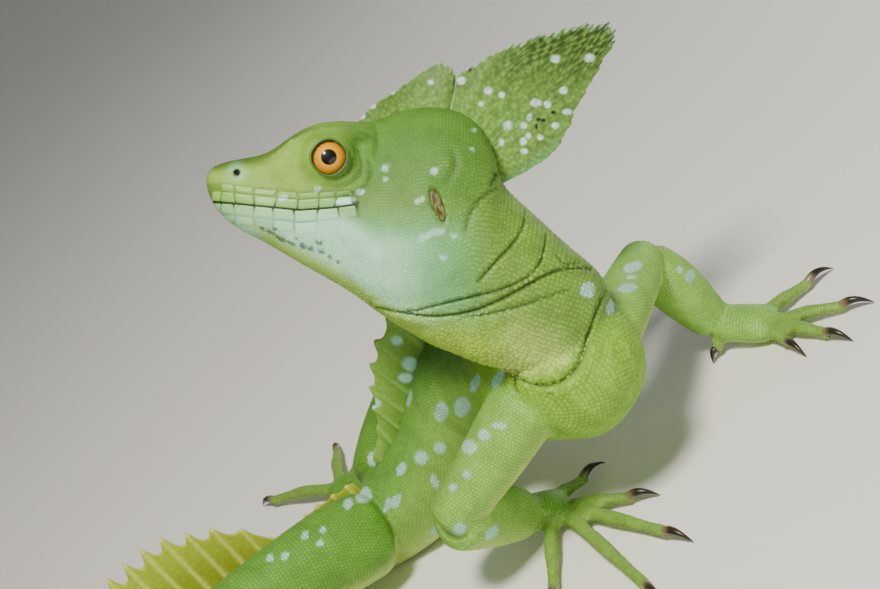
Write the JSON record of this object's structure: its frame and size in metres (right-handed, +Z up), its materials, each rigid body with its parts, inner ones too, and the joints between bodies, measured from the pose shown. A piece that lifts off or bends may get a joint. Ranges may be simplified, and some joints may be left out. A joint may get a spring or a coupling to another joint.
{
  "type": "basilisk lizard",
  "caption": "Life-size green crested basilisk lizard resting with its chest low, head turned back over one shoulder and long tail curled round on the floor.",
  "frame": {"origin": "middle of the footprint, on the floor", "axes": "+Z up, -X roughly the way that the root of the tail and the snout point, +Y away from the side that the head looks back over"},
  "size_m": [0.3038, 0.2818, 0.1208],
  "materials": {
    "skin_green": "satin scaly skin",
    "crest_yellow_green": "satin thin scaly membrane",
    "iris_orange": "wet, clear and glossy"
  },
  "bodies": {
    "root": {"back_sail_front": "crest_yellow_green", "back_sail_rear": "crest_yellow_green", "crest_front": "crest_yellow_green", "crest_rear": "crest_yellow_green", "eye_left": "iris_orange", "eye_right": "iris_orange", "foot_left": "skin_green", "foot_right": "skin_green", "forearm_left": "skin_green", "forearm_right": "skin_green", "hand_left": "skin_green", "hand_right": "skin_green", "head": "skin_green", "neck": "skin_green", "shank_left": "skin_green", "shank_right": "skin_green", "tail_1": "skin_green", "tail_2": "skin_green", "tail_3": "skin_green", "tail_4": "skin_green", "tail_5": "skin_green", "tail_6": "skin_green", "tail_crest_1": "crest_yellow_green", "tail_crest_2": "crest_yellow_green", "tail_crest_3": "crest_yellow_green", "tail_crest_4": "crest_yellow_green", "thigh_left": "skin_green", "thigh_right": "skin_green", "torso_front": "skin_green", "torso_rear": "skin_green", "upper_arm_left": "skin_green", "upper_arm_right": "skin_green"}
  },
  "joints": []
}
